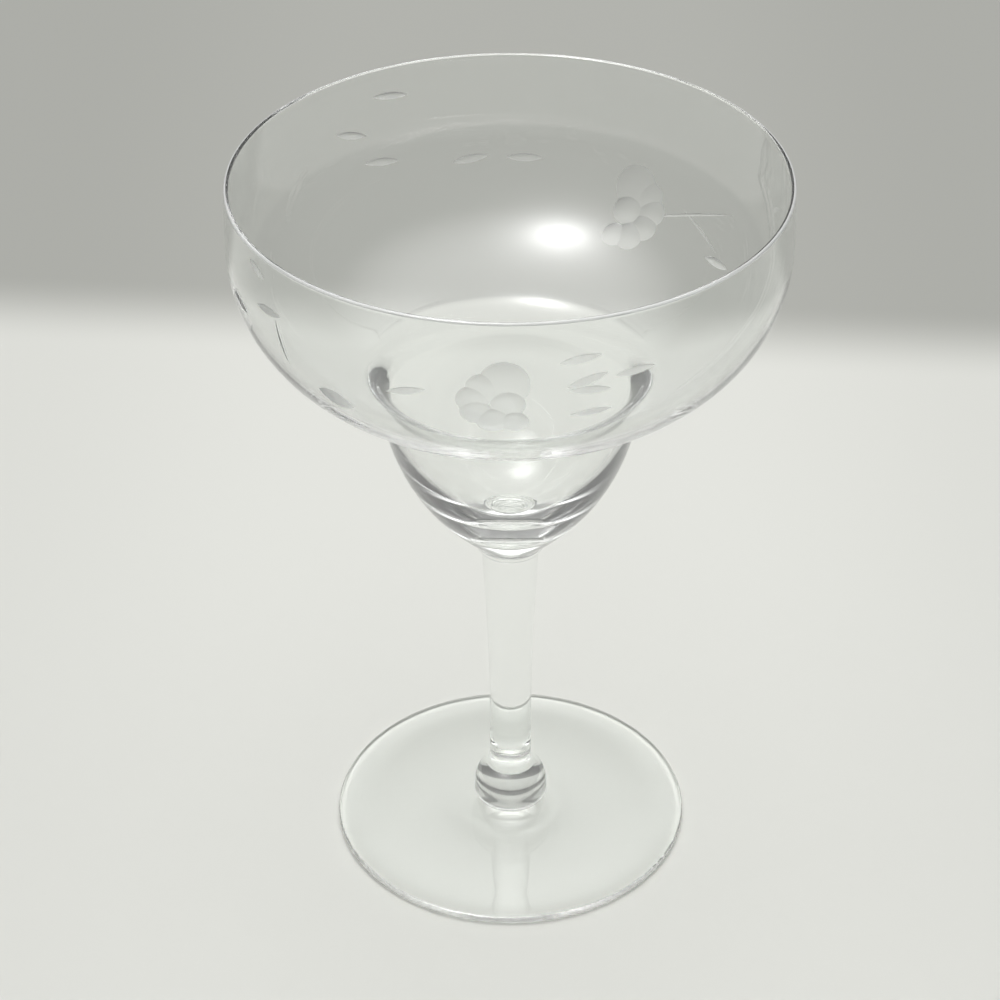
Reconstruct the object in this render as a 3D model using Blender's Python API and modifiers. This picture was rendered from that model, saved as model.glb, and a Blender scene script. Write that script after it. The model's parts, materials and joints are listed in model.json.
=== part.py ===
"""A margarita glass: a wide bowl over a narrow cup, on a merese, a stem, a knop and a foot.

Units are metres and +Z is up. The origin lies on the axis, in the plane that the foot stands on.
Every piece is turned about the axis. The pieces are stacked from the foot to the rim, and each
one starts a joint's gap above the piece that carries it.
"""
import math
from collections import namedtuple

import bpy
from mathutils import Vector
from mathutils.geometry import interpolate_bezier

# Foot: a shallow cone with a rounded edge, hollow underneath, standing on a flat ring
FOOT_RADIUS = 0.0400
FOOT_EDGE_THICKNESS = 0.0018
FOOT_CROWN_HEIGHT = 0.0038
FOOT_HOLLOW_HEIGHT = 0.0008
REST_RING_WIDTH = 0.0060

# Knop: a bead on the foot, with a short ring above it that takes the stem
KNOP_HEIGHT = 0.0150
KNOP_SEAT_RADIUS = 0.0064
KNOP_BELLY_RADIUS = 0.0083
KNOP_BELLY_HEIGHT = 0.0024
BEAD_TOP_RADIUS = 0.0053
BEAD_TOP_HEIGHT = 0.0100

# Stem: drawn thinner towards the knop
STEM_LENGTH = 0.0550
STEM_FOOT_RADIUS = 0.00465
STEM_TOP_RADIUS = 0.0063

# Merese: the wafer of glass that joins the stem to the bowl, drawn in to a waist
MERESE_HEIGHT = 0.0025
MERESE_WAIST_RADIUS = 0.0073
MERESE_WAIST_HEIGHT = 0.0010

# Bowl: a narrow cup below the neck and a wide bowl above it, blown as one piece
BOWL_SEAT_RADIUS = 0.0082
CUP_DEPTH = 0.0355
CUP_BASE_THICKNESS = 0.0065
NECK_RADIUS = 0.02775
NECK_FILLET_WIDTH = 0.00385
NECK_FILLET_RISE = 0.0066
BOWL_DEPTH = 0.0522
BELLY_HEIGHT = 0.0394
BELLY_RADIUS = 0.0574
RIM_RADIUS = 0.0570

# Thickness of the bowl's wall, which is thickest at the neck
RIM_WALL = 0.0009
BELLY_WALL = 0.0009
FLOOR_WALL = 0.0013
NECK_WALL = 0.0025

# Slopes in degrees: leans are from upright, the others from level
RIM_LEAN = 3
NECK_LEAN = 9.9
MERESE_TOP_LEAN = 38
MERESE_FOOT_LEAN = 65
STEM_TOP_LEAN = 3
RING_TOP_LEAN = 24
RING_FOOT_LEAN = 2
FLOOR_SLOPE = 21
CUP_FOOT_SLOPE = 43.5
BEAD_TOP_SLOPE = 38
KNOP_UNDERSIDE_SLOPE = 20
FOOT_CROWN_SLOPE = 10
FOOT_EDGE_SLOPE = 2
HOLLOW_SLOPE = 4

# How far a bend pulls its curve along, as a share of the run that it shapes
EVEN_PULL = 1 / 3
BELLY_PULL = 0.406
FLOOR_PULL = 0.73
CUP_TOP_PULL = 0.469
CUP_FOOT_PULL = 0.77
CUP_BOTTOM_PULL = 0.4752
MERESE_TOP_PULL = 0.39
MERESE_FOOT_PULL = 0.45
STEM_FOOT_PULL = 0.45
BEAD_TOP_PULL = 0.5
KNOP_BELLY_PULL = 0.5

# Space left between two pieces where the real ones are fused
JOINT_GAP = 0.0003

# Facets round the axis, and along each curve of a profile
WIDE_FACETS = 64
SLIM_FACETS = 40
CURVE_STEPS = 8
SHORT_CURVE_STEPS = 4
LIP_STEPS = 4

# Height of each piece's lowest face
KNOP_BASE = FOOT_CROWN_HEIGHT + JOINT_GAP
STEM_BASE = KNOP_BASE + KNOP_HEIGHT + JOINT_GAP
MERESE_BASE = STEM_BASE + STEM_LENGTH + JOINT_GAP
BOWL_BASE = MERESE_BASE + MERESE_HEIGHT + JOINT_GAP

# Tint and polish of the clear glass
GLASS_COLOUR = (0.97, 0.98, 0.97, 1.0)
GLASS_ROUGHNESS = 0.02
GLASS_IOR = 1.5

# A place on a profile: its point (radius, height), the way the profile runs there in degrees
# (0 outwards, 90 up, 270 down) and how far its pull reaches before and after it
Station = namedtuple("Station", "point heading before after")


def station(radius, height, heading, before=0.0, after=0.0):
    """A place on a profile."""
    return Station(Vector((radius, height)), heading, before, after)


def direction(heading):
    """The unit vector of a heading in the plane of radius and height."""
    angle = math.radians(heading)
    return Vector((math.cos(angle), math.sin(angle)))


def curve(first, second, steps):
    """Points of the smooth curve from one station to the next."""
    leaving = first.point + direction(first.heading) * first.after
    arriving = second.point - direction(second.heading) * second.before
    return interpolate_bezier(first.point, leaving, arriving, second.point, steps + 1)


def inner_side(stations, walls):
    """The stations of a wall's inner side, each moved in by the wall's thickness there.

    A bend's pull is lengthened or shortened as its radius is, so that the wall stays even.
    """
    moved = []
    for place, wall in zip(stations, walls):
        run = direction(place.heading)
        inward = Vector((run.y, -run.x))
        moved.append(place._replace(point=place.point + inward * wall))
    for index in range(len(moved) - 1):
        turn = math.radians(stations[index + 1].heading - stations[index].heading)
        stretch = 4 / 3 * math.tan(turn / 4) * (walls[index] + walls[index + 1]) / 2
        moved[index] = moved[index]._replace(after=moved[index].after + stretch)
        moved[index + 1] = moved[index + 1]._replace(before=moved[index + 1].before + stretch)
    return moved


def clear_glass():
    """Clear soda-lime glass."""
    material = bpy.data.materials.new("clear_glass")
    material.use_nodes = True
    shader = material.node_tree.nodes["Principled BSDF"]
    shader.inputs["Base Color"].default_value = GLASS_COLOUR
    shader.inputs["Metallic"].default_value = 0.0
    shader.inputs["Roughness"].default_value = GLASS_ROUGHNESS
    shader.inputs["IOR"].default_value = GLASS_IOR
    shader.inputs["Transmission Weight"].default_value = 1.0
    return material


def turned(name, profile, base, facets, material, parent):
    """A solid turned about the axis from a profile that runs down its outer side."""
    mesh = bpy.data.meshes.new(name)
    points = [(point.x, 0.0, point.y) for point in profile]
    edges = [(index, index + 1) for index in range(len(points) - 1)]
    mesh.from_pydata(points, edges, [])
    mesh.materials.append(material)
    piece = bpy.data.objects.new(name, mesh)
    piece.location.z = base
    piece.parent = parent
    screw = piece.modifiers.new("turn", "SCREW")
    screw.axis = "Z"
    screw.angle = 2 * math.pi
    screw.steps = facets
    screw.render_steps = facets
    screw.use_merge_vertices = True
    screw.merge_threshold = 0.00001
    screw.use_smooth_shade = True
    return piece


def sweep(stations):
    """Points of the curves through the stations, in order."""
    profile = [stations[0].point]
    for first, second in zip(stations, stations[1:]):
        long_run = (second.point - first.point).length > NECK_RADIUS
        profile += curve(first, second, CURVE_STEPS if long_run else SHORT_CURVE_STEPS)[1:]
    return profile


def round_edge(centre, radius, start, end, steps):
    """Points on an arc about a centre, from one heading round to another."""
    turn = (end - start) / steps
    return [centre + direction(start + turn * step) * radius for step in range(steps + 1)]


def foot_profile():
    """The foot, from the middle of its seat down to the middle of its hollow."""
    half_edge = FOOT_EDGE_THICKNESS / 2
    edge_centre = Vector((FOOT_RADIUS - half_edge, half_edge))
    pull = (edge_centre.x - KNOP_SEAT_RADIUS) * EVEN_PULL
    seat = station(KNOP_SEAT_RADIUS, FOOT_CROWN_HEIGHT, 360 - FOOT_CROWN_SLOPE, after=pull)
    edge = station(edge_centre.x, FOOT_EDGE_THICKNESS, 360 - FOOT_EDGE_SLOPE, before=pull)
    hollow_radius = FOOT_RADIUS - REST_RING_WIDTH
    hollow_pull = hollow_radius * EVEN_PULL
    hollow_edge = station(hollow_radius, 0.0, 180 - HOLLOW_SLOPE, after=hollow_pull)
    hollow_top = station(0.0, FOOT_HOLLOW_HEIGHT, 180, before=hollow_pull)
    profile = [Vector((0.0, FOOT_CROWN_HEIGHT))]
    profile += curve(seat, edge, SHORT_CURVE_STEPS)
    profile += round_edge(edge_centre, half_edge, 90, -90, LIP_STEPS)[1:]
    profile += curve(hollow_edge, hollow_top, SHORT_CURVE_STEPS)
    return profile


def knop_profile():
    """The knop, from the middle of its top down to the middle of its seat."""
    ring_pull = (KNOP_HEIGHT - BEAD_TOP_HEIGHT) * EVEN_PULL
    shoulder = BEAD_TOP_HEIGHT - KNOP_BELLY_HEIGHT
    underside = KNOP_BELLY_HEIGHT * KNOP_BELLY_PULL
    ring_top = station(STEM_FOOT_RADIUS, KNOP_HEIGHT, 270 + RING_TOP_LEAN, after=ring_pull)
    ring_foot = station(BEAD_TOP_RADIUS, BEAD_TOP_HEIGHT, 270 - RING_FOOT_LEAN, before=ring_pull)
    bead_top = station(BEAD_TOP_RADIUS, BEAD_TOP_HEIGHT, 360 - BEAD_TOP_SLOPE,
                       after=shoulder * BEAD_TOP_PULL)
    belly = station(KNOP_BELLY_RADIUS, KNOP_BELLY_HEIGHT, 270, before=shoulder * EVEN_PULL,
                    after=underside)
    seat = station(KNOP_SEAT_RADIUS, 0.0, 180 + KNOP_UNDERSIDE_SLOPE, before=underside)
    profile = [Vector((0.0, KNOP_HEIGHT))]
    profile += curve(ring_top, ring_foot, SHORT_CURVE_STEPS)
    profile += curve(bead_top, belly, CURVE_STEPS)[1:]
    profile += curve(belly, seat, SHORT_CURVE_STEPS)[1:]
    profile.append(Vector((0.0, 0.0)))
    return profile


def stem_profile():
    """The stem, from the middle of its top down to the middle of its lower end."""
    top = station(STEM_TOP_RADIUS, STEM_LENGTH, 270 - STEM_TOP_LEAN, after=STEM_LENGTH * EVEN_PULL)
    lower_end = station(STEM_FOOT_RADIUS, 0.0, 270, before=STEM_LENGTH * STEM_FOOT_PULL)
    profile = [Vector((0.0, STEM_LENGTH))]
    profile += curve(top, lower_end, CURVE_STEPS)
    profile.append(Vector((0.0, 0.0)))
    return profile


def merese_profile():
    """The merese, which draws in below the bowl to a waist and turns under to meet the stem."""
    shoulder_pull = (MERESE_HEIGHT - MERESE_WAIST_HEIGHT) * MERESE_TOP_PULL
    foot_pull = MERESE_WAIST_HEIGHT * MERESE_FOOT_PULL
    upper = station(BOWL_SEAT_RADIUS, MERESE_HEIGHT, 270 - MERESE_TOP_LEAN, after=shoulder_pull)
    waist = station(MERESE_WAIST_RADIUS, MERESE_WAIST_HEIGHT, 270, before=shoulder_pull,
                    after=foot_pull)
    lower = station(STEM_TOP_RADIUS, 0.0, 270 - MERESE_FOOT_LEAN, before=foot_pull)
    profile = [Vector((0.0, MERESE_HEIGHT))]
    profile += curve(upper, waist, SHORT_CURVE_STEPS)
    profile += curve(waist, lower, SHORT_CURVE_STEPS)[1:]
    profile.append(Vector((0.0, 0.0)))
    return profile


def bowl_profile():
    """The bowl, from the bottom of its inside over the rim and down its outside to its seat."""
    half_lip = RIM_WALL / 2
    rim_height = CUP_DEPTH + BOWL_DEPTH - half_lip
    belly_height = CUP_DEPTH + BELLY_HEIGHT
    floor_radius = NECK_RADIUS + NECK_FILLET_WIDTH
    rim_pull = (rim_height - belly_height) * EVEN_PULL
    fillet_pull = math.hypot(NECK_FILLET_WIDTH, NECK_FILLET_RISE) * EVEN_PULL
    rim = station(RIM_RADIUS, rim_height, 270 + RIM_LEAN, after=rim_pull)
    belly = station(BELLY_RADIUS, belly_height, 270, before=rim_pull,
                    after=(BELLY_HEIGHT - NECK_FILLET_RISE) * BELLY_PULL)
    floor = station(floor_radius, CUP_DEPTH + NECK_FILLET_RISE, 180 + FLOOR_SLOPE,
                    before=(BELLY_RADIUS - floor_radius) * FLOOR_PULL, after=fillet_pull)
    neck = station(NECK_RADIUS, CUP_DEPTH, 270 - NECK_LEAN, before=fillet_pull,
                   after=CUP_DEPTH * CUP_TOP_PULL)
    seat = station(BOWL_SEAT_RADIUS, 0.0, 180 + CUP_FOOT_SLOPE,
                   before=(NECK_RADIUS - BOWL_SEAT_RADIUS) * CUP_FOOT_PULL)
    bottom = station(0.0, CUP_BASE_THICKNESS, 180,
                     before=(NECK_RADIUS - NECK_WALL) * CUP_BOTTOM_PULL)
    walls = [RIM_WALL, BELLY_WALL, FLOOR_WALL, NECK_WALL]
    inside = sweep(inner_side([rim, belly, floor, neck], walls) + [bottom])
    lip = round_edge(Vector((RIM_RADIUS - half_lip, rim_height)), half_lip, 180, 0, LIP_STEPS)
    outside = sweep([rim, belly, floor, neck, seat])
    return inside[::-1] + lip[1:-1] + outside + [Vector((0.0, 0.0))]


def build():
    """Clear the scene and make the five pieces."""
    for leftover in list(bpy.data.objects):
        bpy.data.objects.remove(leftover, do_unlink=True)
    collection = bpy.data.collections.new("margarita_glass")
    bpy.context.scene.collection.children.link(collection)
    axis = bpy.data.objects.new("margarita_glass_axis", None)
    collection.objects.link(axis)
    glass = clear_glass()
    pieces = [
        turned("foot", foot_profile(), 0.0, WIDE_FACETS, glass, axis),
        turned("knop", knop_profile(), KNOP_BASE, SLIM_FACETS, glass, axis),
        turned("stem", stem_profile(), STEM_BASE, SLIM_FACETS, glass, axis),
        turned("merese", merese_profile(), MERESE_BASE, SLIM_FACETS, glass, axis),
        turned("bowl", bowl_profile(), BOWL_BASE, WIDE_FACETS, glass, axis),
    ]
    for piece in pieces:
        collection.objects.link(piece)


build()
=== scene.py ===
"""Looks of a margarita glass: clear blown glass with wheel-cut sprays of flowers on its bowl.

Lengths are in metres and angles in degrees. +Z is up and the foot stands on Z = 0. Angles round the
glass start at the side that faces the camera and grow to the right, as the camera sees that side.
"""
import json
import math
from collections import namedtuple

import bmesh
import bpy
from mathutils import Matrix, Vector
from mathutils.geometry import interpolate_bezier

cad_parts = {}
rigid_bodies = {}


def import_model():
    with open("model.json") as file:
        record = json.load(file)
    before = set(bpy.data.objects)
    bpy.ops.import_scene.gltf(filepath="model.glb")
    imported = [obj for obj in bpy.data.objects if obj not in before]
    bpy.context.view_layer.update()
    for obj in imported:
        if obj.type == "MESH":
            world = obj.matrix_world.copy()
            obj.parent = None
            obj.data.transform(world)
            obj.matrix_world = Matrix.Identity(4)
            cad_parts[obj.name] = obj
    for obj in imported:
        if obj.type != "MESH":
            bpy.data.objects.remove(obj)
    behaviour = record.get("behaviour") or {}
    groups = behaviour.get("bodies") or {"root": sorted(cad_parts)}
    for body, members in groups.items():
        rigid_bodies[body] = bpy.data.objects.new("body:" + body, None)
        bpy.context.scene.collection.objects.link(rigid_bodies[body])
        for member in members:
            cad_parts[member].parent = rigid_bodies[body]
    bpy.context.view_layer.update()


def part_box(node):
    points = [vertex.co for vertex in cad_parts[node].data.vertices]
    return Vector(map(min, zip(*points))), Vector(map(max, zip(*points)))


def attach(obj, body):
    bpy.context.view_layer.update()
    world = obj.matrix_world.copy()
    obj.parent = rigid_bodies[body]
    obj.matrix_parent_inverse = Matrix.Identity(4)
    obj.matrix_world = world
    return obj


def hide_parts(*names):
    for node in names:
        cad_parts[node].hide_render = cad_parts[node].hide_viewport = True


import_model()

# Camera, as the photograph was taken; its lens and its film are in millimetres
CAMERA_PLACE = (0.0, -0.4834, 0.4215)
CAMERA_LENS = 98.16
CAMERA_FILM_WIDTH = 36.0
CAMERA_NEAR_LIMIT = 0.01
CAMERA_DOWN = 34.70
CAMERA_TURN = 0.26
CAMERA_ROLL = -0.233

# Foot
FOOT_EDGE_THICKNESS = 0.0018
FOOT_HOLLOW_HEIGHT = 0.0008
REST_RING_WIDTH = 0.0060

# Knop: a bead on the foot, a short ring above it and a straight end that takes the stem
KNOP_SEAT_RADIUS = 0.0064
KNOP_BELLY_HEIGHT = 0.0024
BEAD_TOP_RADIUS = 0.0053
BEAD_TOP_HEIGHT = 0.0100
RING_HEIGHT = 0.0020

# Stem and merese
STEM_FOOT_RADIUS = 0.00465
STEM_TOP_RADIUS = 0.0063
MERESE_WAIST_RADIUS = 0.0073
MERESE_WAIST_HEIGHT = 0.0010

# Bowl: a narrow cup below the neck and a wide bowl above it
BOWL_SEAT_RADIUS = 0.0082
CUP_DEPTH = 0.0355
CUP_BASE_THICKNESS = 0.0065
NECK_RADIUS = 0.02775
NECK_FILLET_WIDTH = 0.00385
NECK_FILLET_RISE = 0.0066
BELLY_HEIGHT = 0.0394
RIM_RADIUS = 0.0570

# Thickness of the bowl's wall, which is thickest at the neck
RIM_WALL = 0.0010
BELLY_WALL = 0.0009
FLOOR_WALL = 0.0013
NECK_WALL = 0.0025

# Wheel cuts on the outside of the bowl
LEAF_LENGTH = 0.0086
SHORT_LEAF_LENGTH = 0.0060
LEAF_WIDTH = 0.0018
BROAD_LEAF_WIDTH = 0.0045
LEAF_DEPTH = 0.00020
STALK_WIDTH = 0.0006
STALK_DEPTH = 0.00008
PETAL_DEPTH = 0.00050
PETAL_RADII = (0.0049, 0.0034, 0.0032, 0.0031, 0.0032, 0.0027)
PETAL_START = 96
PETAL_STEP = 37
FLOWER_HALF_WIDTH = 0.0068
FLOWER_HALF_HEIGHT = 0.0046
FLOWER_MIDDLE_RADIUS = 0.0033
FLOWER_MIDDLE_DEPTH = 0.00060

# Slopes: leans are from upright, the others from level
RIM_LEAN = 3
NECK_LEAN = 9.9
MERESE_TOP_LEAN = 38
MERESE_FOOT_LEAN = 65
STEM_TOP_LEAN = 3
RING_TOP_LEAN = 24
RING_FOOT_LEAN = 2
FLOOR_SLOPE = 21
CUP_FOOT_SLOPE = 43.5
BEAD_TOP_SLOPE = 38
KNOP_UNDERSIDE_SLOPE = 20
FOOT_CROWN_SLOPE = 10
FOOT_EDGE_SLOPE = 2
HOLLOW_SLOPE = 4

# How far a bend pulls its curve along, as a share of the run that it shapes
EVEN_PULL = 1 / 3
BELLY_PULL = 0.406
FLOOR_PULL = 0.73
CUP_TOP_PULL = 0.469
CUP_FOOT_PULL = 0.77
CUP_BOTTOM_PULL = 0.4752
MERESE_TOP_PULL = 0.39
MERESE_FOOT_PULL = 0.45
STEM_FOOT_PULL = 0.45
BEAD_TOP_PULL = 0.5
KNOP_BELLY_PULL = 0.5

# Facets round the axis, and along each curve of a profile, with more on a long run
WIDE_FACETS = 240
SLIM_FACETS = 96
LONG_RUN = 0.025
CURVE_STEPS = 40
SHORT_CURVE_STEPS = 14
LIP_STEPS = 10

# How far apart points may be that count as level or touching, and points that are made one
SAME_PLACE = 1e-6
MERGE_DISTANCE = 1e-7

# Wheel-cutting tools: their facets along and across, how far they reach past a cut, as a share of
# it, how thick they are, how far their edges lift off the wall, in depths of the cut, how blunt a
# leaf's tips are, how much deeper a slanted wheel cuts at the upper edge, and the sharpest bend
# within one hollow
TOOL_LENGTH_STEPS = 40
TOOL_WIDTH_STEPS = 20
TOOL_REACH = 1.15
TOOL_THICKNESS = 0.002
EDGE_LIFT = 1.0
TIP_BLUNTNESS = 0.05
WHEEL_SLANT = 0.65
RIDGE_ANGLE = 1.6

# Glass: its colour, its refractive index and its clearness, which is less on the melted lip of the
# rim: there the glass is partly opaque and pale, a painted highlight that stands in for the light the
# lip gathers from above
GLASS_COLOUR = (0.985, 0.995, 0.988, 1.0)
GLASS_INDEX = 1.5
CLEAR = 1.0
PAINTED_HIGHLIGHT_CLEARNESS = 0.3

# Finishes of the glass: faint waves where it was blown and polished, matt grain where the wheel cut
Finish = namedtuple("Finish", "roughness scale detail strength height")
POLISHED_FINISH = Finish(roughness=0.0, scale=55.0, detail=1.0, strength=0.5, height=0.0001)
CUT_FINISH = Finish(roughness=0.45, scale=2500.0, detail=2.0, strength=1.0, height=0.000004)

# Table top, a hair below the foot: pale, and grey behind a blurred edge that slants a little
FLOOR_HALF_SIZE = 6.0
FLOOR_DROP = 0.00005
FLOOR_ROUGHNESS = 0.9
FLOOR_COLOUR = (0.755, 0.760, 0.725)
FAR_COLOUR = (0.436, 0.440, 0.415)
FLOOR_EDGE_PLACE = 0.216
FLOOR_EDGE_SLOPE = -0.08
FLOOR_EDGE_BLUR = 0.020

# Shade on the table top: a little to both sides, and all of it far from the glass
SHADE_COLOUR = (0.0, 0.0, 0.0)
SIDE_START = 0.05
SIDE_END = 0.15
SIDE_SHADE = 0.07
UNLIT_COLOUR = (0.18, 0.18, 0.18)
UNLIT_START = 0.50
UNLIT_END = 0.80

# A little light on the far table top and low in the sky, by how much a direction turns to the back
BACK_START = 0.45
BACK_END = 0.85
BACK_LIGHT = 0.1

# Sky: dark low down and bright overhead, tilted to the back, and plain white where it is mirrored
LOW_SKY = (0.14, 0.14, 0.14)
HIGH_SKY = (2.8, 2.8, 2.77)
MIRRORED_SKY = (1.0, 1.0, 0.99)
SKY_TILT = 0.2
SKY_START = 0.65
SKY_END = 1.0

# Lamp overhead, which shows only where it is mirrored; at its reach it has faded to LAMP_FADE
LAMP_COLOUR = (34.0, 34.0, 34.0)
LAMP_LEAN_LEFT = 16.0
LAMP_LEAN_FRONT = 13.0
LAMP_REACH = 7.5
LAMP_FADE = 0.37

# How often light may be bent or mirrored on its way, and pass through fused joints
LIGHT_BOUNCES = 128
JOINT_PASSES = 32

# Where the pieces meet: half-way between each CAD solid and the one that it carries
foot_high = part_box("foot")[1]
knop_low, knop_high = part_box("knop")
stem_low, stem_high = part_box("stem")
merese_low, merese_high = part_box("merese")
bowl_low, bowl_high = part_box("bowl")
KNOP_BASE = (foot_high.z + knop_low.z) / 2
STEM_BASE = (knop_high.z + stem_low.z) / 2
MERESE_BASE = (stem_high.z + merese_low.z) / 2
BOWL_BASE = (merese_high.z + bowl_low.z) / 2
FOOT_RADIUS = foot_high.x
KNOP_BELLY_RADIUS = knop_high.x
BELLY_RADIUS = bowl_high.x
RIM_TOP = bowl_high.z

# Material slots of every glass piece, after the first, which is polished glass
FUSED = 1
CUT = 2
# The lip's slot holds the painted highlight: less clear glass that shows as a pale line along the rim
LIP = 3

# The colour sockets of a Mix node
MIX_FIRST = 6
MIX_SECOND = 7
MIX_RESULT = 2

# A place on a profile: its point (radius, height), the way the profile runs there in degrees
# (0 outwards, 90 up, 270 down) and how far its pull reaches before and after it
Station = namedtuple("Station", "point heading before after")


def station(radius, height, heading, before=0.0, after=0.0):
    """A place on a profile."""
    return Station(Vector((radius, height)), heading, before, after)


def direction(heading):
    """The unit vector of a heading in the plane of radius and height."""
    angle = math.radians(heading)
    return Vector((math.cos(angle), math.sin(angle)))


def curve(first, second, steps):
    """Points of the smooth curve from one station to the next."""
    leaving = first.point + direction(first.heading) * first.after
    arriving = second.point - direction(second.heading) * second.before
    return interpolate_bezier(first.point, leaving, arriving, second.point, steps + 1)


def inner_side(stations, walls):
    """The stations of a wall's inner side, each moved in by the wall's thickness there."""
    moved = []
    for place, wall in zip(stations, walls):
        run = direction(place.heading)
        inward = Vector((run.y, -run.x))
        moved.append(place._replace(point=place.point + inward * wall))
    for index in range(len(moved) - 1):
        turn = math.radians(stations[index + 1].heading - stations[index].heading)
        stretch = 4 / 3 * math.tan(turn / 4) * (walls[index] + walls[index + 1]) / 2
        moved[index] = moved[index]._replace(after=moved[index].after + stretch)
        moved[index + 1] = moved[index + 1]._replace(before=moved[index + 1].before + stretch)
    return moved


def sweep(stations):
    """Points of the curves through the stations, in order."""
    profile = [stations[0].point]
    for first, second in zip(stations, stations[1:]):
        long_run = (second.point - first.point).length > LONG_RUN
        profile += curve(first, second, CURVE_STEPS if long_run else SHORT_CURVE_STEPS)[1:]
    return profile


def round_edge(centre, radius, start, end, steps):
    """Points on an arc about a centre, from one heading round to another."""
    turn = (end - start) / steps
    return [centre + direction(start + turn * step) * radius for step in range(steps + 1)]


def foot_profile():
    """The foot, from the middle of its seat down to the middle of its hollow."""
    half_edge = FOOT_EDGE_THICKNESS / 2
    edge_centre = Vector((FOOT_RADIUS - half_edge, half_edge))
    pull = (edge_centre.x - KNOP_SEAT_RADIUS) * EVEN_PULL
    seat = station(KNOP_SEAT_RADIUS, KNOP_BASE, 360 - FOOT_CROWN_SLOPE, after=pull)
    edge = station(edge_centre.x, FOOT_EDGE_THICKNESS, 360 - FOOT_EDGE_SLOPE, before=pull)
    hollow_radius = FOOT_RADIUS - REST_RING_WIDTH
    hollow_pull = hollow_radius * EVEN_PULL
    hollow_edge = station(hollow_radius, 0.0, 180 - HOLLOW_SLOPE, after=hollow_pull)
    hollow_top = station(0.0, FOOT_HOLLOW_HEIGHT, 180, before=hollow_pull)
    profile = [Vector((0.0, KNOP_BASE))]
    profile += curve(seat, edge, CURVE_STEPS)
    profile += round_edge(edge_centre, half_edge, 90, -90, LIP_STEPS)[1:]
    profile += curve(hollow_edge, hollow_top, SHORT_CURVE_STEPS)
    return profile


def knop_profile():
    """The knop, from the middle of its top down to the middle of its seat."""
    belly_height = knop_low.z + KNOP_BELLY_HEIGHT
    bead_top_height = knop_low.z + BEAD_TOP_HEIGHT
    ring_top_height = bead_top_height + RING_HEIGHT
    ring_pull = RING_HEIGHT * EVEN_PULL
    shoulder = bead_top_height - belly_height
    underside = (belly_height - KNOP_BASE) * KNOP_BELLY_PULL
    ring_top = station(STEM_FOOT_RADIUS, ring_top_height, 270 + RING_TOP_LEAN, after=ring_pull)
    ring_foot = station(BEAD_TOP_RADIUS, bead_top_height, 270 - RING_FOOT_LEAN, before=ring_pull)
    bead_top = station(BEAD_TOP_RADIUS, bead_top_height, 360 - BEAD_TOP_SLOPE,
                       after=shoulder * BEAD_TOP_PULL)
    belly = station(KNOP_BELLY_RADIUS, belly_height, 270,
                    before=shoulder * EVEN_PULL, after=underside)
    seat = station(KNOP_SEAT_RADIUS, KNOP_BASE, 180 + KNOP_UNDERSIDE_SLOPE, before=underside)
    profile = [Vector((0.0, STEM_BASE)), Vector((STEM_FOOT_RADIUS, STEM_BASE))]
    profile += curve(ring_top, ring_foot, SHORT_CURVE_STEPS)
    profile += curve(bead_top, belly, CURVE_STEPS)[1:]
    profile += curve(belly, seat, SHORT_CURVE_STEPS)[1:]
    profile.append(Vector((0.0, KNOP_BASE)))
    return profile


def stem_profile():
    """The stem, from the middle of its top down to the middle of its lower end."""
    length = MERESE_BASE - STEM_BASE
    top = station(STEM_TOP_RADIUS, MERESE_BASE, 270 - STEM_TOP_LEAN, after=length * EVEN_PULL)
    lower_end = station(STEM_FOOT_RADIUS, STEM_BASE, 270, before=length * STEM_FOOT_PULL)
    profile = [Vector((0.0, MERESE_BASE))]
    profile += curve(top, lower_end, CURVE_STEPS)
    profile.append(Vector((0.0, STEM_BASE)))
    return profile


def merese_profile():
    """The merese, which draws in below the bowl to a waist and turns under to meet the stem."""
    waist_height = MERESE_BASE + MERESE_WAIST_HEIGHT
    shoulder_pull = (BOWL_BASE - waist_height) * MERESE_TOP_PULL
    foot_pull = MERESE_WAIST_HEIGHT * MERESE_FOOT_PULL
    upper = station(BOWL_SEAT_RADIUS, BOWL_BASE, 270 - MERESE_TOP_LEAN, after=shoulder_pull)
    waist = station(MERESE_WAIST_RADIUS, waist_height, 270, before=shoulder_pull, after=foot_pull)
    lower = station(STEM_TOP_RADIUS, MERESE_BASE, 270 - MERESE_FOOT_LEAN, before=foot_pull)
    profile = [Vector((0.0, BOWL_BASE))]
    profile += curve(upper, waist, SHORT_CURVE_STEPS)
    profile += curve(waist, lower, SHORT_CURVE_STEPS)[1:]
    profile.append(Vector((0.0, MERESE_BASE)))
    return profile


def bowl_stations():
    """The outer side of the bowl, from the rim down to the seat."""
    neck_height = bowl_low.z + CUP_DEPTH
    rim_height = RIM_TOP - RIM_WALL / 2
    belly_height = neck_height + BELLY_HEIGHT
    floor_radius = NECK_RADIUS + NECK_FILLET_WIDTH
    rim_pull = (rim_height - belly_height) * EVEN_PULL
    fillet_pull = math.hypot(NECK_FILLET_WIDTH, NECK_FILLET_RISE) * EVEN_PULL
    rim = station(RIM_RADIUS, rim_height, 270 + RIM_LEAN, after=rim_pull)
    belly = station(BELLY_RADIUS, belly_height, 270, before=rim_pull,
                    after=(BELLY_HEIGHT - NECK_FILLET_RISE) * BELLY_PULL)
    floor = station(floor_radius, neck_height + NECK_FILLET_RISE, 180 + FLOOR_SLOPE,
                    before=(BELLY_RADIUS - floor_radius) * FLOOR_PULL, after=fillet_pull)
    neck = station(NECK_RADIUS, neck_height, 270 - NECK_LEAN, before=fillet_pull,
                   after=CUP_DEPTH * CUP_TOP_PULL)
    seat = station(BOWL_SEAT_RADIUS, BOWL_BASE, 180 + CUP_FOOT_SLOPE,
                   before=(NECK_RADIUS - BOWL_SEAT_RADIUS) * CUP_FOOT_PULL)
    return [rim, belly, floor, neck, seat]


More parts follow.
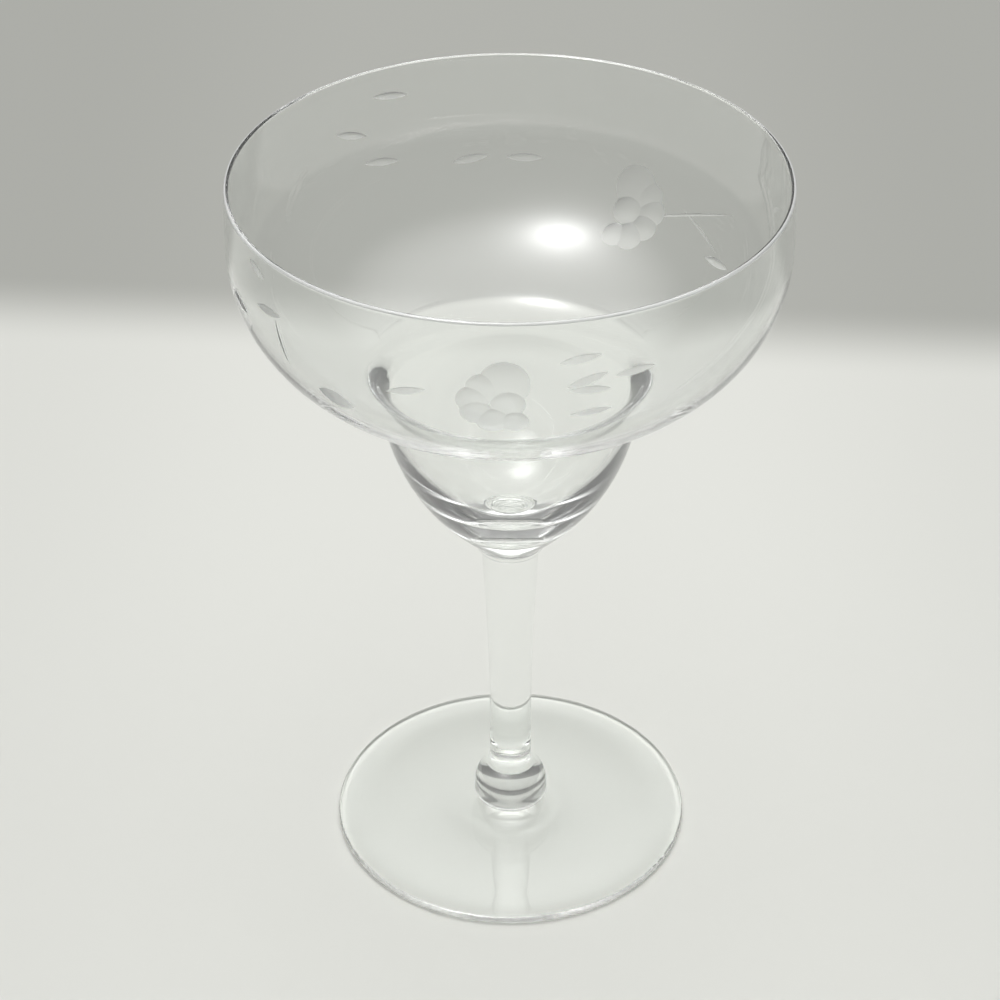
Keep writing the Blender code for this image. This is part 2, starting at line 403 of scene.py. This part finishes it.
def bowl_profile():
    """The bowl, from the bottom of its inside over the rim and down its outside to its seat."""
    outer = bowl_stations()
    walls = [RIM_WALL, BELLY_WALL, FLOOR_WALL, NECK_WALL]
    bottom = station(0.0, bowl_low.z + CUP_BASE_THICKNESS, 180,
                     before=(NECK_RADIUS - NECK_WALL) * CUP_BOTTOM_PULL)
    inside = sweep(inner_side(outer[:-1], walls) + [bottom])
    half_lip = RIM_WALL / 2
    lip_centre = Vector((RIM_RADIUS - half_lip, RIM_TOP - half_lip))
    lip = round_edge(lip_centre, half_lip, 180, 0, LIP_STEPS)
    return inside[::-1] + lip[1:-1] + sweep(outer) + [Vector((0.0, BOWL_BASE))]


def on_lip(point):
    """Whether a point lies on the outer half of the rim's round lip."""
    half_lip = RIM_WALL / 2
    inside = RIM_RADIUS - half_lip - SAME_PLACE
    return point.z > RIM_TOP - half_lip - SAME_PLACE and math.hypot(point.x, point.y) > inside


def turned(name, profile, facets, materials):
    """A closed piece turned about the axis, with materials of their own on its joints and, as a
    painted highlight, on its lip.
    """
    shape = bmesh.new()
    points = [shape.verts.new((point.x, 0.0, point.y)) for point in profile]
    lines = [shape.edges.new(pair) for pair in zip(points, points[1:])]
    bmesh.ops.spin(shape, geom=points + lines, cent=(0, 0, 0), axis=(0, 0, 1), dvec=(0, 0, 0),
                   angle=2 * math.pi, steps=facets, use_merge=True, use_duplicate=False)
    bmesh.ops.remove_doubles(shape, verts=shape.verts, dist=MERGE_DISTANCE)
    bmesh.ops.recalc_face_normals(shape, faces=shape.faces)
    joint_heights = (KNOP_BASE, STEM_BASE, MERESE_BASE, BOWL_BASE)
    for face in shape.faces:
        face.smooth = True
        for height in joint_heights:
            if all(abs(corner.co.z - height) < SAME_PLACE for corner in face.verts):
                face.material_index = FUSED
        # Faces on the outer half of the lip take the painted highlight
        if all(on_lip(corner.co) for corner in face.verts):
            face.material_index = LIP
    for edge in shape.edges:
        edge.smooth = len({face.material_index for face in edge.link_faces}) == 1
    mesh = bpy.data.meshes.new(name)
    shape.to_mesh(mesh)
    shape.free()
    for material in materials:
        mesh.materials.append(material)
    piece = bpy.data.objects.new(name, mesh)
    bpy.context.scene.collection.objects.link(piece)
    return piece


# A wheel cut: its place (angle round the glass, height), its tilt from level and its size; a
# pointed cut runs out to a tip at both ends, and the others are round
Cut = namedtuple("Cut", "angle height tilt length width depth pointed")


def leaf(angle, height, tilt, length=LEAF_LENGTH, width=LEAF_WIDTH):
    """A slim pointed leaf."""
    return Cut(angle, height, tilt, length, width, LEAF_DEPTH, True)


def stalk(angle, height, tilt, length):
    """A fine line that joins leaves and flowers."""
    return Cut(angle, height, tilt, length, STALK_WIDTH, STALK_DEPTH, True)


def flower(angle, height):
    """A half-open flower: round petals in an arc about a round middle."""
    middle = 2 * FLOWER_MIDDLE_RADIUS
    cuts = [Cut(angle, height, 0, middle, middle, FLOWER_MIDDLE_DEPTH, False)]
    for number, radius in enumerate(PETAL_RADII):
        place = direction(PETAL_START + PETAL_STEP * number)
        aside = math.degrees(place.x * FLOWER_HALF_WIDTH / BELLY_RADIUS)
        rise = place.y * FLOWER_HALF_HEIGHT
        petal = 2 * radius
        cuts.append(Cut(angle + aside, height + rise, 0, petal, petal, PETAL_DEPTH, False))
    return cuts


def wheel_cuts():
    """The sprays of flowers and leaves on the bowl."""
    front = flower(-0.4, 0.1478)
    front += [
        leaf(13.2, 0.1569, 7),
        leaf(14.6, 0.1522, 16),
        leaf(15.0, 0.1500, -5),
        leaf(15.6, 0.1445, 3),
        leaf(24.0, 0.1524, 3),
        leaf(-20.0, 0.1488, 15),
    ]
    left = [
        leaf(-37.0, 0.1410, -12, width=BROAD_LEAF_WIDTH),
        leaf(-37.0, 0.1342, -12),
        leaf(-67.4, 0.1496, -10),
        leaf(-53.7, 0.1544, 6),
        leaf(-58.0, 0.1615, -20, length=SHORT_LEAF_LENGTH),
        stalk(-50.1, 0.1490, 105, 0.0102),
    ]
    back = flower(149.5, 0.1335)
    back += [
        leaf(117.3, 0.1320, -6),
        leaf(176.5, 0.1408, 0),
        leaf(-171.0, 0.1408, -8),
        leaf(-149.9, 0.1432, 8),
        leaf(-153.0, 0.1580, 8),
        leaf(-143.0, 0.1510, 18),
        stalk(132.6, 0.1366, -22, 0.0270),
        stalk(127.3, 0.1350, 18, 0.0150),
    ]
    return front + left + back


def wall_line():
    """The outside of the bowl from its rim to its floor: each point with its run from the rim."""
    points = sweep(bowl_stations()[:3])
    runs = [0.0]
    for first, second in zip(points, points[1:]):
        runs.append(runs[-1] + (second - first).length)
    return list(zip(runs, points))


def run_at(line, height):
    """The run from the rim at which the outside of the bowl has a height."""
    for (first_run, first), (second_run, second) in zip(line, line[1:]):
        if second.y <= height <= first.y:
            return first_run + (second_run - first_run) * (first.y - height) / (first.y - second.y)
    raise ValueError("no wall at this height")


def on_wall(line, angle, aside, run, lift):
    """The point at a run from the rim, set aside from an angle and lifted off the wall."""
    for (first_run, first), (second_run, second) in zip(line, line[1:]):
        if run <= second_run:
            break
    place = first.lerp(second, (run - first_run) / (second_run - first_run))
    down = (second - first).normalized()
    lifted = place + Vector((-down.y, down.x)) * lift
    turn = math.radians(angle) + aside / place.x
    return Vector((math.sin(turn) * lifted.x, -math.cos(turn) * lifted.x, lifted.y))


def cutting_tool(cut, line, materials):
    """A closed tool whose under side is the hollow that the wheel leaves."""
    tool = bmesh.new()
    bmesh.ops.create_grid(tool, x_segments=TOOL_LENGTH_STEPS, y_segments=TOOL_WIDTH_STEPS,
                          size=TOOL_REACH)
    tilt = Matrix.Rotation(math.radians(cut.tilt), 2)
    middle = run_at(line, cut.height)
    for corner in tool.verts:
        along = corner.co.x
        across = corner.co.y
        reach = 1 - along ** 2
        narrowing = max(reach, TIP_BLUNTNESS) if cut.pointed else 1.0
        hollow = (reach - across ** 2 / narrowing) * (1 + WHEEL_SLANT * across)
        hollow = max(hollow, -EDGE_LIFT)
        move = tilt @ Vector((along * cut.length / 2, across * cut.width / 2))
        corner.co = on_wall(line, cut.angle, move.x, middle - move.y, -cut.depth * hollow)
    raised = bmesh.ops.extrude_face_region(tool, geom=tool.faces[:], use_keep_orig=True)
    for part in raised["geom"]:
        if isinstance(part, bmesh.types.BMVert):
            part.co += Vector((part.co.x, part.co.y, 0.0)).normalized() * TOOL_THICKNESS
    bmesh.ops.recalc_face_normals(tool, faces=tool.faces[:])
    for face in tool.faces:
        face.material_index = CUT
        face.smooth = True
    mesh = bpy.data.meshes.new("cutting_tool")
    tool.to_mesh(mesh)
    tool.free()
    for material in materials:
        mesh.materials.append(material)
    return bpy.data.objects.new("cutting_tool", mesh)


def cut_with_wheel(piece, cuts, materials):
    """Cut a piece with a wheel, keeping the edges of the cuts crisp."""
    line = wall_line()
    tools = bpy.data.collections.new("cutting_tools")
    bpy.context.scene.collection.children.link(tools)
    for cut in cuts:
        tools.objects.link(cutting_tool(cut, line, materials))
    wheel = piece.modifiers.new("wheel", "BOOLEAN")
    wheel.operand_type = "COLLECTION"
    wheel.collection = tools
    wheel.operation = "DIFFERENCE"
    wheel.solver = "MANIFOLD"
    wheel.material_mode = "INDEX"
    graph = bpy.context.evaluated_depsgraph_get()
    plain = piece.data
    piece.data = bpy.data.meshes.new_from_object(piece.evaluated_get(graph))
    piece.modifiers.clear()
    for tool in list(tools.objects):
        bpy.data.meshes.remove(tool.data)
    bpy.data.collections.remove(tools)
    bpy.data.meshes.remove(plain)
    shape = bmesh.new()
    shape.from_mesh(piece.data)
    for edge in shape.edges:
        kinds = {face.material_index for face in edge.link_faces}
        ridge = kinds == {CUT} and edge.calc_face_angle(0.0) > math.radians(RIDGE_ANGLE)
        edge.smooth = len(kinds) == 1 and not ridge
    shape.to_mesh(piece.data)
    shape.free()


def glass_material(name, clearness, finish):
    """Glass of a clearness from 0 to 1, with the waves or the grain of its finish."""
    material = bpy.data.materials.new(name)
    material.use_nodes = True
    nodes = material.node_tree.nodes
    links = material.node_tree.links
    shader = nodes["Principled BSDF"]
    shader.inputs["Base Color"].default_value = GLASS_COLOUR
    shader.inputs["Roughness"].default_value = finish.roughness
    shader.inputs["IOR"].default_value = GLASS_INDEX
    shader.inputs["Transmission Weight"].default_value = clearness
    place = nodes.new("ShaderNodeTexCoord")
    relief = nodes.new("ShaderNodeTexNoise")
    relief.inputs["Scale"].default_value = finish.scale
    relief.inputs["Detail"].default_value = finish.detail
    bump = nodes.new("ShaderNodeBump")
    bump.inputs["Strength"].default_value = finish.strength
    bump.inputs["Distance"].default_value = finish.height
    links.new(place.outputs["Object"], relief.inputs["Vector"])
    links.new(relief.outputs["Fac"], bump.inputs["Height"])
    links.new(bump.outputs["Normal"], shader.inputs["Normal"])
    return material


def fused_joint():
    """The joint between two pieces, which can't be seen because the glass has run together."""
    material = bpy.data.materials.new("fused_joint")
    material.use_nodes = True
    shader = material.node_tree.nodes["Principled BSDF"]
    shader.inputs["Alpha"].default_value = 0.0
    return material


def math_node(tree, operation, *values):
    """The result of a maths node whose inputs are numbers or sockets."""
    node = tree.nodes.new("ShaderNodeMath")
    node.operation = operation
    for socket, value in zip(node.inputs, values):
        if isinstance(value, (int, float)):
            socket.default_value = value
        else:
            tree.links.new(value, socket)
    return node.outputs[0]


def ramp(tree, value, low, high, to_low, to_high):
    """A smooth step of a socket's value between two limits."""
    node = tree.nodes.new("ShaderNodeMapRange")
    node.interpolation_type = "SMOOTHSTEP"
    node.inputs["From Min"].default_value = low
    node.inputs["From Max"].default_value = high
    node.inputs["To Min"].default_value = to_low
    node.inputs["To Max"].default_value = to_high
    tree.links.new(value, node.inputs["Value"])
    return node.outputs["Result"]


def mixed(tree, share, first, second):
    """A mix of two colours, each a tuple or a socket."""
    node = tree.nodes.new("ShaderNodeMix")
    node.data_type = "RGBA"
    tree.links.new(share, node.inputs["Factor"])
    for socket, value in zip((node.inputs[MIX_FIRST], node.inputs[MIX_SECOND]), (first, second)):
        if isinstance(value, tuple):
            socket.default_value = (*value, 1.0)
        else:
            tree.links.new(value, socket)
    return node.outputs[MIX_RESULT]


def axes_of(tree, vector):
    """The X, Y and Z sockets of a vector's socket."""
    node = tree.nodes.new("ShaderNodeSeparateXYZ")
    tree.links.new(vector, node.inputs[0])
    return node.outputs


def length_of(tree, vector):
    """The socket of the length of a vector's socket."""
    node = tree.nodes.new("ShaderNodeVectorMath")
    node.operation = "LENGTH"
    tree.links.new(vector, node.inputs[0])
    return node.outputs["Value"]


def pale_floor():
    """The table top's finish: pale, grey towards the back, shaded to the sides and dark far off."""
    material = bpy.data.materials.new("pale_floor")
    material.use_nodes = True
    tree = material.node_tree
    shader = tree.nodes["Principled BSDF"]
    shader.inputs["Roughness"].default_value = FLOOR_ROUGHNESS
    shader.inputs["Specular IOR Level"].default_value = 0.0
    place = tree.nodes.new("ShaderNodeTexCoord").outputs["Object"]
    axes = axes_of(tree, place)
    edge = math_node(tree, "MULTIPLY_ADD", axes["X"], -FLOOR_EDGE_SLOPE, axes["Y"])
    edge_start = FLOOR_EDGE_PLACE - FLOOR_EDGE_BLUR
    edge_end = FLOOR_EDGE_PLACE + FLOOR_EDGE_BLUR
    far = ramp(tree, edge, edge_start, edge_end, 0.0, 1.0)
    colour = mixed(tree, far, FLOOR_COLOUR, FAR_COLOUR)
    aside = math_node(tree, "ABSOLUTE", axes["X"])
    shade = ramp(tree, aside, SIDE_START, SIDE_END, 0.0, SIDE_SHADE)
    colour = mixed(tree, shade, colour, SHADE_COLOUR)
    reach = length_of(tree, place)
    unlit = ramp(tree, reach, UNLIT_START, UNLIT_END, 0.0, 1.0)
    backward = math_node(tree, "DIVIDE", axes["Y"], reach)
    without_back_light = ramp(tree, backward, BACK_START, BACK_END, 1.0, 1.0 - BACK_LIGHT)
    unlit = math_node(tree, "MULTIPLY", unlit, without_back_light)
    colour = mixed(tree, unlit, colour, UNLIT_COLOUR)
    tree.links.new(colour, shader.inputs["Base Color"])
    return material


def make_floor():
    """A wide table top under the glass."""
    shape = bmesh.new()
    bmesh.ops.create_grid(shape, x_segments=1, y_segments=1, size=FLOOR_HALF_SIZE)
    bmesh.ops.translate(shape, verts=shape.verts, vec=(0, 0, -FLOOR_DROP))
    mesh = bpy.data.meshes.new("floor")
    shape.to_mesh(mesh)
    shape.free()
    floor = bpy.data.objects.new("floor", mesh)
    bpy.context.scene.collection.objects.link(floor)
    mesh.materials.append(pale_floor())


def make_world():
    """A soft sky, dark low down and bright overhead, with a round lamp for the glass to mirror."""
    world = bpy.data.worlds.new("studio")
    bpy.context.scene.world = world
    world.use_nodes = True
    tree = world.node_tree
    way = tree.nodes.new("ShaderNodeTexCoord").outputs["Generated"]
    axes = axes_of(tree, way)
    path = tree.nodes.new("ShaderNodeLightPath").outputs
    mirrored = math_node(tree, "SUBTRACT", path["Is Glossy Ray"], path["Is Transmission Ray"])
    mirrored = math_node(tree, "MAXIMUM", mirrored, 0.0)
    overhead = mixed(tree, mirrored, HIGH_SKY, MIRRORED_SKY)
    backward = ramp(tree, axes["Y"], BACK_START, BACK_END, 0.0, BACK_LIGHT)
    around = mixed(tree, backward, LOW_SKY, FAR_COLOUR)
    height = math_node(tree, "MULTIPLY_ADD", axes["Y"], SKY_TILT, axes["Z"])
    sky = mixed(tree, ramp(tree, height, SKY_START, SKY_END, 0.0, 1.0), around, overhead)
    lamp = tree.nodes.new("ShaderNodeMapping")
    lamp.vector_type = "TEXTURE"
    lean = (math.radians(LAMP_LEAN_FRONT), math.radians(-LAMP_LEAN_LEFT), 0.0)
    lamp.inputs["Rotation"].default_value = lean
    reach = math.radians(LAMP_REACH)
    lamp.inputs["Scale"].default_value = (reach, reach, 1.0)
    tree.links.new(way, lamp.inputs["Vector"])
    flat = tree.nodes.new("ShaderNodeVectorMath")
    flat.operation = "MULTIPLY"
    flat.inputs[1].default_value = (1.0, 1.0, 0.0)
    tree.links.new(lamp.outputs["Vector"], flat.inputs[0])
    glow = math_node(tree, "POWER", LAMP_FADE, length_of(tree, flat.outputs["Vector"]))
    glow = math_node(tree, "MULTIPLY", glow, mirrored)
    sky = mixed(tree, glow, sky, LAMP_COLOUR)
    tree.links.new(sky, tree.nodes["Background"].inputs["Color"])


def make_camera():
    """The camera at the photograph's place."""
    data = bpy.data.cameras.new("camera")
    data.lens = CAMERA_LENS
    data.sensor_width = CAMERA_FILM_WIDTH
    data.clip_start = CAMERA_NEAR_LIMIT
    camera = bpy.data.objects.new("camera", data)
    turn = Matrix.Rotation(math.radians(CAMERA_TURN), 4, "Z")
    tilt = Matrix.Rotation(math.radians(90 - CAMERA_DOWN), 4, "X")
    roll = Matrix.Rotation(math.radians(CAMERA_ROLL), 4, "Z")
    camera.matrix_world = Matrix.Translation(CAMERA_PLACE) @ turn @ tilt @ roll
    bpy.context.scene.collection.objects.link(camera)
    bpy.context.scene.camera = camera


# Render settings: plain colours, and light that finds its way out of the glass
scene = bpy.context.scene
scene.view_settings.view_transform = "Standard"
scene.cycles.max_bounces = LIGHT_BOUNCES
scene.cycles.transmission_bounces = LIGHT_BOUNCES
scene.cycles.glossy_bounces = LIGHT_BOUNCES
scene.cycles.transparent_max_bounces = JOINT_PASSES
scene.cycles.caustics_reflective = False
scene.cycles.blur_glossy = 0.0

make_camera()
make_floor()
make_world()
glass = [
    glass_material("polished_glass", CLEAR, POLISHED_FINISH),
    fused_joint(),
    glass_material("cut_glass", CLEAR, CUT_FINISH),
    # Painted highlight on the rim's lip: partly opaque glass that shows as a pale line
    glass_material("lip_painted_highlight", PAINTED_HIGHLIGHT_CLEARNESS, POLISHED_FINISH),
]
profiles = {
    "foot": (foot_profile(), WIDE_FACETS),
    "knop": (knop_profile(), SLIM_FACETS),
    "stem": (stem_profile(), SLIM_FACETS),
    "merese": (merese_profile(), SLIM_FACETS),
    "bowl": (bowl_profile(), WIDE_FACETS),
}
for node, (profile, facets) in profiles.items():
    piece = turned(node + "_glass", profile, facets, glass)
    if node == "bowl":
        cut_with_wheel(piece, wheel_cuts(), glass)
    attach(piece, "root")
    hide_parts(node)
